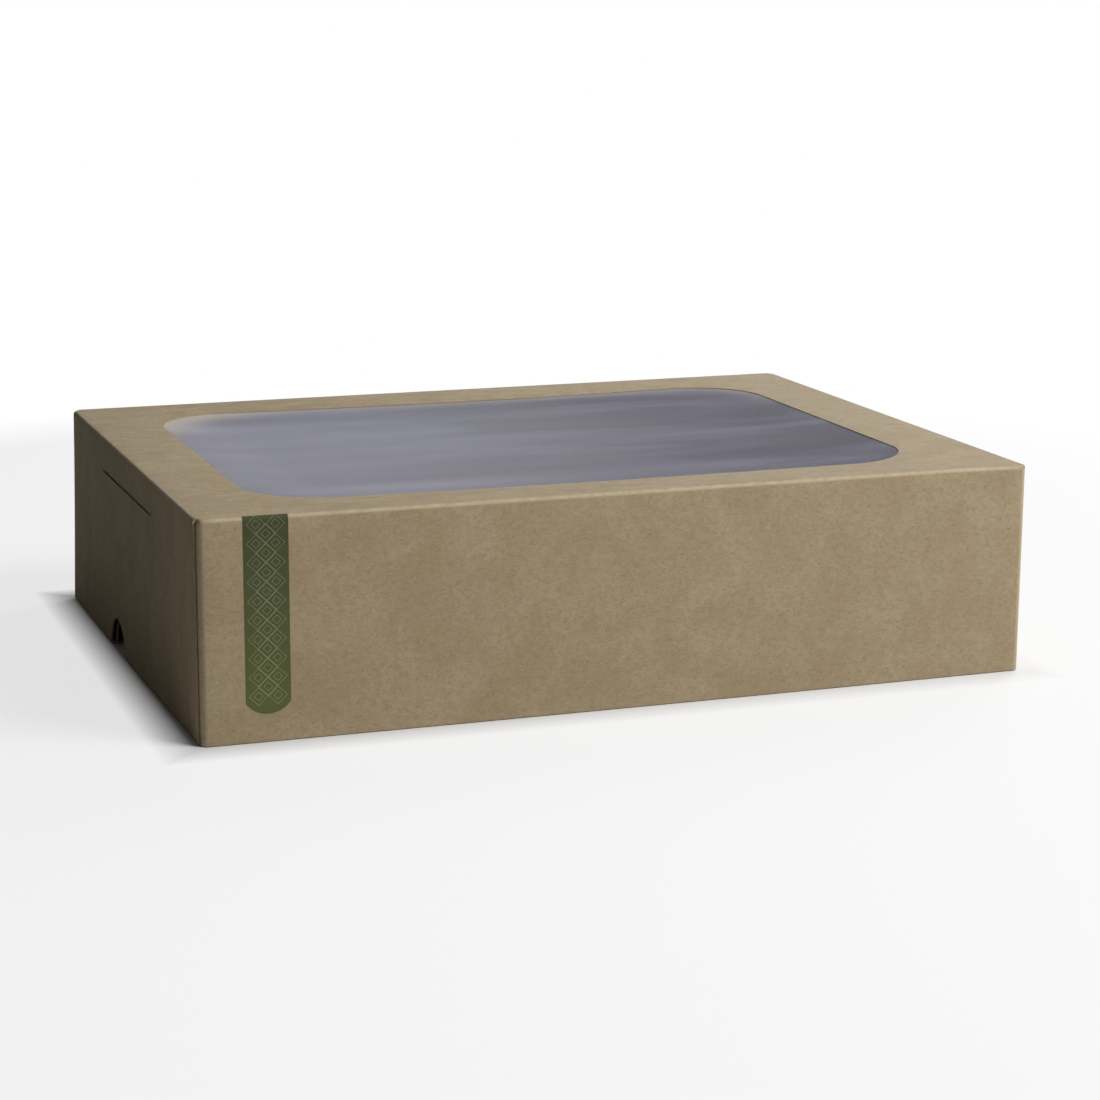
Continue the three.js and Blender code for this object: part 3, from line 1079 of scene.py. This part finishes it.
    def build_lattice(self) -> bpy.types.Object:
        """Builds the lattice of lozenges that lies on the field.

        Returns:
            The lattice's object.
        """
        bm = bmesh.new()
        wide = (self.width / 2 - self.margin) / self.columns
        tall = self.pitch / 2
        fold = self.shape.top_fold
        top = self.shape.height - fold + (self.wrap - self.fold_margin) * fold
        lowest = self.foot + self.foot_sag * self.foot_margin
        for row in range(int((top - self.foot) / tall)):
            up = top - tall * (row + 1)
            for column in range(-self.columns + 1, self.columns):
                if (row + column) % 2 == 1 and up - tall >= lowest:
                    self.add_cell(bm, column * wide, up, wide, tall)
        materials = [self.line_ink.material()]
        return piece_from("band_lattice", bm, "lid", materials, "print_lattice")


@dataclass
class Tray:
    """The folded tray that holds the food and carries the lid on its rim."""

    inside: KraftFinish
    spacing: Size3 = (14 * MM, 14 * MM, 10 * MM)
    uneven: float = 0.12 * MM
    bulges_per_metre: Size3 = (9, 9, 16)
    foot_rise: tuple[float, float] = (3 * MM, 30 * MM)
    rim: float = 76 * MM
    rim_fall: float = 20 * MM
    name: str = "tray_board"

    def settle(self, point: Vector) -> Vector:
        """Moves a point of the true tray a little, as folded board does.

        Args:
            point: A point of the true tray, in metres.

        Returns:
            The moved point, which stays in place at the foot and the rim.
        """
        lift = smooth_step(point.z, *self.foot_rise)
        lift *= smooth_step(self.rim - point.z, 0.0, self.rim_fall)
        push = noise.noise(point * Vector(self.bulges_per_metre))
        outward = Vector((point.x, point.y, 0.0)).normalized()
        return point + outward * (self.uneven * lift * push)

    def build(self) -> bpy.types.Object:
        """Builds and dresses the tray.

        Returns:
            The tray's object.
        """
        bm = sheet_copy("base_tray", self.spacing)
        bm.verts.layers.float.new("fold_wear_and_highlight")
        for vertex in bm.verts:
            vertex.co = self.settle(vertex.co)
        materials = [self.inside.material()]
        return piece_from(self.name, bm, "tray", materials, "base_tray")


@dataclass
class CameraView:
    """The photograph's viewpoint on the platter, with its lens and sensor in millimetres."""

    place: Vector = field(default_factory=lambda: Vector((-346.23, -986.37, 270.38)) * MM)
    azimuth: float = math.radians(-19.885)
    elevation: float = math.radians(12.785)
    roll: float = math.radians(0.32)
    lens: float = 89.98
    sensor: float = 36.0
    nearest: float = 0.05
    farthest: float = 30.0

    def build(self) -> bpy.types.Object:
        """Makes the scene's camera.

        Returns:
            The camera's object.
        """
        back = direction(self.azimuth, self.elevation)
        level = Vector((math.cos(self.azimuth), math.sin(self.azimuth), 0.0))
        up = back.cross(level)
        right = level * math.cos(self.roll) + up * math.sin(self.roll)
        upright = up * math.cos(self.roll) - level * math.sin(self.roll)
        turn = Matrix((right, upright, back)).transposed().to_4x4()
        data = bpy.data.cameras.new("photo_view")
        data.lens = self.lens
        data.sensor_fit = "HORIZONTAL"
        data.sensor_width = self.sensor
        data.clip_start, data.clip_end = self.nearest, self.farthest
        camera = bpy.data.objects.new("photo_view", data)
        camera.matrix_world = Matrix.Translation(self.place) @ turn
        bpy.context.scene.collection.objects.link(camera)
        bpy.context.scene.camera = camera
        return camera


@dataclass(frozen=True)
class SoftLight:
    """One soft box lamp that points at the platter, in degrees, metres and watts."""

    name: str
    azimuth: float
    elevation: float
    distance: float
    width: float
    height: float
    power: float
    in_gloss: bool = True

    def build(self) -> bpy.types.Object:
        """Hangs the lamp and points it at the platter.

        Returns:
            The lamp's object.
        """
        back = direction(math.radians(self.azimuth), math.radians(self.elevation))
        data = bpy.data.lights.new(self.name, "AREA")
        data.shape = "RECTANGLE"
        data.size, data.size_y = self.width, self.height
        data.energy = self.power
        lamp = bpy.data.objects.new(self.name, data)
        lamp.visible_glossy = self.in_gloss
        lamp.location = back * self.distance
        lamp.rotation_mode = "QUATERNION"
        lamp.rotation_quaternion = (-back).to_track_quat("-Z", "Y")
        bpy.context.scene.collection.objects.link(lamp)
        return lamp


def flat_sheet(name: str, cuts: tuple[int, int], half: float,
               material: bpy.types.Material) -> bpy.types.Object:
    """Makes a flat square sheet that lies level at the origin.

    Args:
        name: The sheet's name.
        cuts: Faces along X and Y.
        half: Half its side, in metres.
        material: Its material.

    Returns:
        The sheet's object.
    """
    bm = bmesh.new()
    bmesh.ops.create_grid(bm, x_segments=cuts[0], y_segments=cuts[1], size=half)
    mesh = bpy.data.meshes.new(name)
    bm.to_mesh(mesh)
    bm.free()
    mesh.materials.append(material)
    sheet = bpy.data.objects.new(name, mesh)
    bpy.context.scene.collection.objects.link(sheet)
    return sheet


@dataclass(frozen=True)
class Floor:
    """The pale floor, which shows the platter's shadow and turns plain white further out.

    Attributes:
        paleness: How white it is to the eye beside the platter.
        contact: Width of the strip round the platter that shows its full shadow.
        whitening: Distances from the middle over which it turns white, in metres.
    """

    size: float = 6.0
    colour: LinearColour = (0.72, 0.72, 0.72, 1.0)
    roughness: float = 0.9
    gloss: float = 0.1
    paleness: float = 0.74
    footprint: tuple[float, float] = (155 * MM, 112.5 * MM)
    contact: float = 16 * MM
    whitening: Ramp = Ramp(0.24, 0.55)

    def past_footprint(self, sketch: MaterialSketch, place: Socket) -> Socket:
        """Gives a factor that is 0 under the platter and 1 a little way outside it.

        Args:
            sketch: The floor's material.
            place: The place on the floor.

        Returns:
            The factor.
        """
        past = []
        for axis, half in zip("XY", self.footprint):
            distance = sketch.join(Join.SIZE, sketch.part(place, axis))
            past.append(sketch.spread(distance, Ramp(half + MM, half + self.contact)))
        return sketch.join(Join.LARGER, *past)

    def material(self) -> bpy.types.Material:
        """Builds the floor's material.

        Returns:
            A matt material near the platter that turns plain white further out.
        """
        sketch = MaterialSketch("pale_floor")
        sketch.shader.inputs["Base Color"].default_value = self.colour
        sketch.shader.inputs["Roughness"].default_value = self.roughness
        sketch.shader.inputs["Specular IOR Level"].default_value = self.gloss
        place = sketch.add("TexCoord").outputs["Object"]
        length = sketch.add("VectorMath", operation="LENGTH")
        sketch.link(place, length.inputs[0])
        far = sketch.spread(length.outputs["Value"], self.whitening)
        around = sketch.join(Join.PRODUCT, far, sketch.seen_directly())
        eye = sketch.spread(sketch.add("LightPath").outputs["Is Camera Ray"],
                            Ramp(0.0, 1.0, 0.0, self.paleness))
        near = sketch.join(Join.PRODUCT, eye, self.past_footprint(sketch, place))
        white = sketch.add("Emission")
        white.inputs["Color"].default_value = WHITE
        mix = sketch.add("MixShader")
        sketch.link(sketch.join(Join.LARGER, around, near), mix.inputs[0])
        sketch.link(sketch.shader.outputs[0], mix.inputs[1])
        sketch.link(white.outputs[0], mix.inputs[2])
        sketch.link(mix.outputs[0], sketch.output.inputs["Surface"])
        return sketch.material

    def build(self) -> bpy.types.Object:
        """Lays the floor under the platter.

        Returns:
            The floor's object.
        """
        floor = flat_sheet("studio_floor", (8, 8), self.size / 2, self.material())
        return floor


@dataclass(frozen=True)
class ReflectedCard:
    """A cool grey card behind the platter, which only the film's gloss shows.

    Attributes:
        pale: Its colour at the left.
        dark: Its colour in the streaks at the right.
        darkening: Distances from its middle over which the streaks come in, in metres.
    """

    place: Size3 = (0.55, 1.35, 0.50)
    half: float = 0.5
    pale: LinearColour = (0.73, 0.73, 0.81, 1.0)
    dark: LinearColour = (0.38, 0.37, 0.43, 1.0)
    darkening: Ramp = Ramp(-0.16, 0.22)
    streaks: Grain = Grain((5.0, 26.0, 1.0), detail=3, turn=-3, distortion=0.5)
    streaks_show: Ramp = Ramp(0.38, 0.56, 0.15, 1.0)

    def build(self) -> bpy.types.Object:
        """Stands the card behind the platter.

        Returns:
            The card's object.
        """
        sketch = MaterialSketch("reflected_card")
        glow = sketch.add("Emission")
        amount = sketch.join(Join.PRODUCT, sketch.spread(sketch.along("X"), self.darkening),
                             sketch.spread(sketch.noise(self.streaks), self.streaks_show))
        sketch.link(sketch.tint(amount, self.pale, self.dark), glow.inputs["Color"])
        sketch.link(glow.outputs[0], sketch.output.inputs["Surface"])
        card = flat_sheet("reflected_card", (6, 4), self.half, sketch.material)
        card.rotation_euler = (math.radians(90), 0.0, 0.0)
        card.location = self.place
        card.visible_camera = card.visible_diffuse = card.visible_shadow = False
        card.visible_transmission = False
        return card


@dataclass(frozen=True)
class BlackFlag:
    """A black flag to the left, which keeps stray light off the left end."""

    place: Size3 = (-0.36, 0.24, 0.40)
    half: float = 0.55
    colour: LinearColour = (0.02, 0.02, 0.02, 1.0)
    roughness: float = 0.9

    def build(self) -> bpy.types.Object:
        """Stands the flag beside the left end.

        Returns:
            The flag's object.
        """
        sketch = MaterialSketch("black_flag")
        sketch.shader.inputs["Base Color"].default_value = self.colour
        sketch.shader.inputs["Roughness"].default_value = self.roughness
        flag = flat_sheet("black_flag", (4, 4), self.half, sketch.material)
        flag.rotation_euler = (0.0, math.radians(90), 0.0)
        flag.location = self.place
        flag.visible_camera = flag.visible_transmission = flag.visible_shadow = False
        return flag


@dataclass(frozen=True)
class Studio:
    """A pale floor, a white surround that lights by its ambient share, and soft lamps."""

    ambient: float = 0.08
    floor: Floor = Floor()
    card: ReflectedCard = ReflectedCard()
    flag: BlackFlag = BlackFlag()
    lamps: tuple[SoftLight, ...] = (
        SoftLight("key_light", azimuth=45.0, elevation=42.0, distance=1.6,
                  width=0.7, height=0.7, power=25.5),
        SoftLight("rim_light", azimuth=128.0, elevation=34.0, distance=1.1,
                  width=0.5, height=0.5, power=5.0, in_gloss=False),
    )

    def build_world(self) -> None:
        """Makes the world white to the eye and dim as a lamp."""
        world = bpy.data.worlds.new("pale_surround")
        bpy.context.scene.world = world
        world.use_nodes = True
        sketch = NodeSketch(world.node_tree)
        background = sketch.tree.nodes["Background"]
        background.inputs["Color"].default_value = WHITE
        strength = sketch.spread(sketch.seen_directly(), Ramp(0.0, 1.0, self.ambient, 1.0))
        sketch.link(strength, background.inputs["Strength"])

    def build(self) -> None:
        """Builds the whole studio."""
        self.build_world()
        self.floor.build()
        self.card.build()
        self.flag.build()
        for lamp in self.lamps:
            lamp.build()
        bpy.context.scene.view_settings.view_transform = "Standard"


def main() -> None:
    """Builds the camera, the studio and each sub-assembly."""
    logging.basicConfig(level=logging.INFO, format="%(name)s: %(message)s")
    CameraView().build()
    Studio().build()
    outside = KraftFinish(BoardSide.OUTSIDE, body=(153, 136, 107), pale=(162, 146, 118),
                          dark=(136, 119, 90), speck=(112, 96, 70), worn_and_highlight=(190, 176, 148))
    inside = KraftFinish(BoardSide.INSIDE, body=(160, 143, 113), pale=(169, 153, 124),
                         dark=(150, 133, 103), speck=(126, 108, 82), worn_and_highlight=(186, 172, 144),
                         grain=0.5)
    cut_edge = KraftFinish(BoardSide.CUT, body=(164, 146, 114), pale=(178, 161, 130),
                           dark=(146, 127, 96), speck=(120, 101, 74), worn_and_highlight=(186, 172, 144),
                           roughness=0.9)
    field_ink = InkFinish("dark_green_ink", colour=(62, 64, 40), thin=(76, 77, 50),
                          foot=(86, 92, 52))
    line_ink = InkFinish("pale_green_ink", colour=(108, 114, 84), thin=(94, 100, 72),
                         foot=(126, 134, 98))
    shape = LidShape()
    band = PrintedBand(shape, field_ink, line_ink)
    pieces = (Lid(shape, outside, cut_edge).build(), WindowFilm(shape, FilmFinish()).build(),
              band.build_field(), band.build_lattice(), Tray(inside).build())
    for piece in pieces:
        LOG.info("%s: %d faces", piece.name, len(piece.data.polygons))


if __name__ == "__main__":
    main()
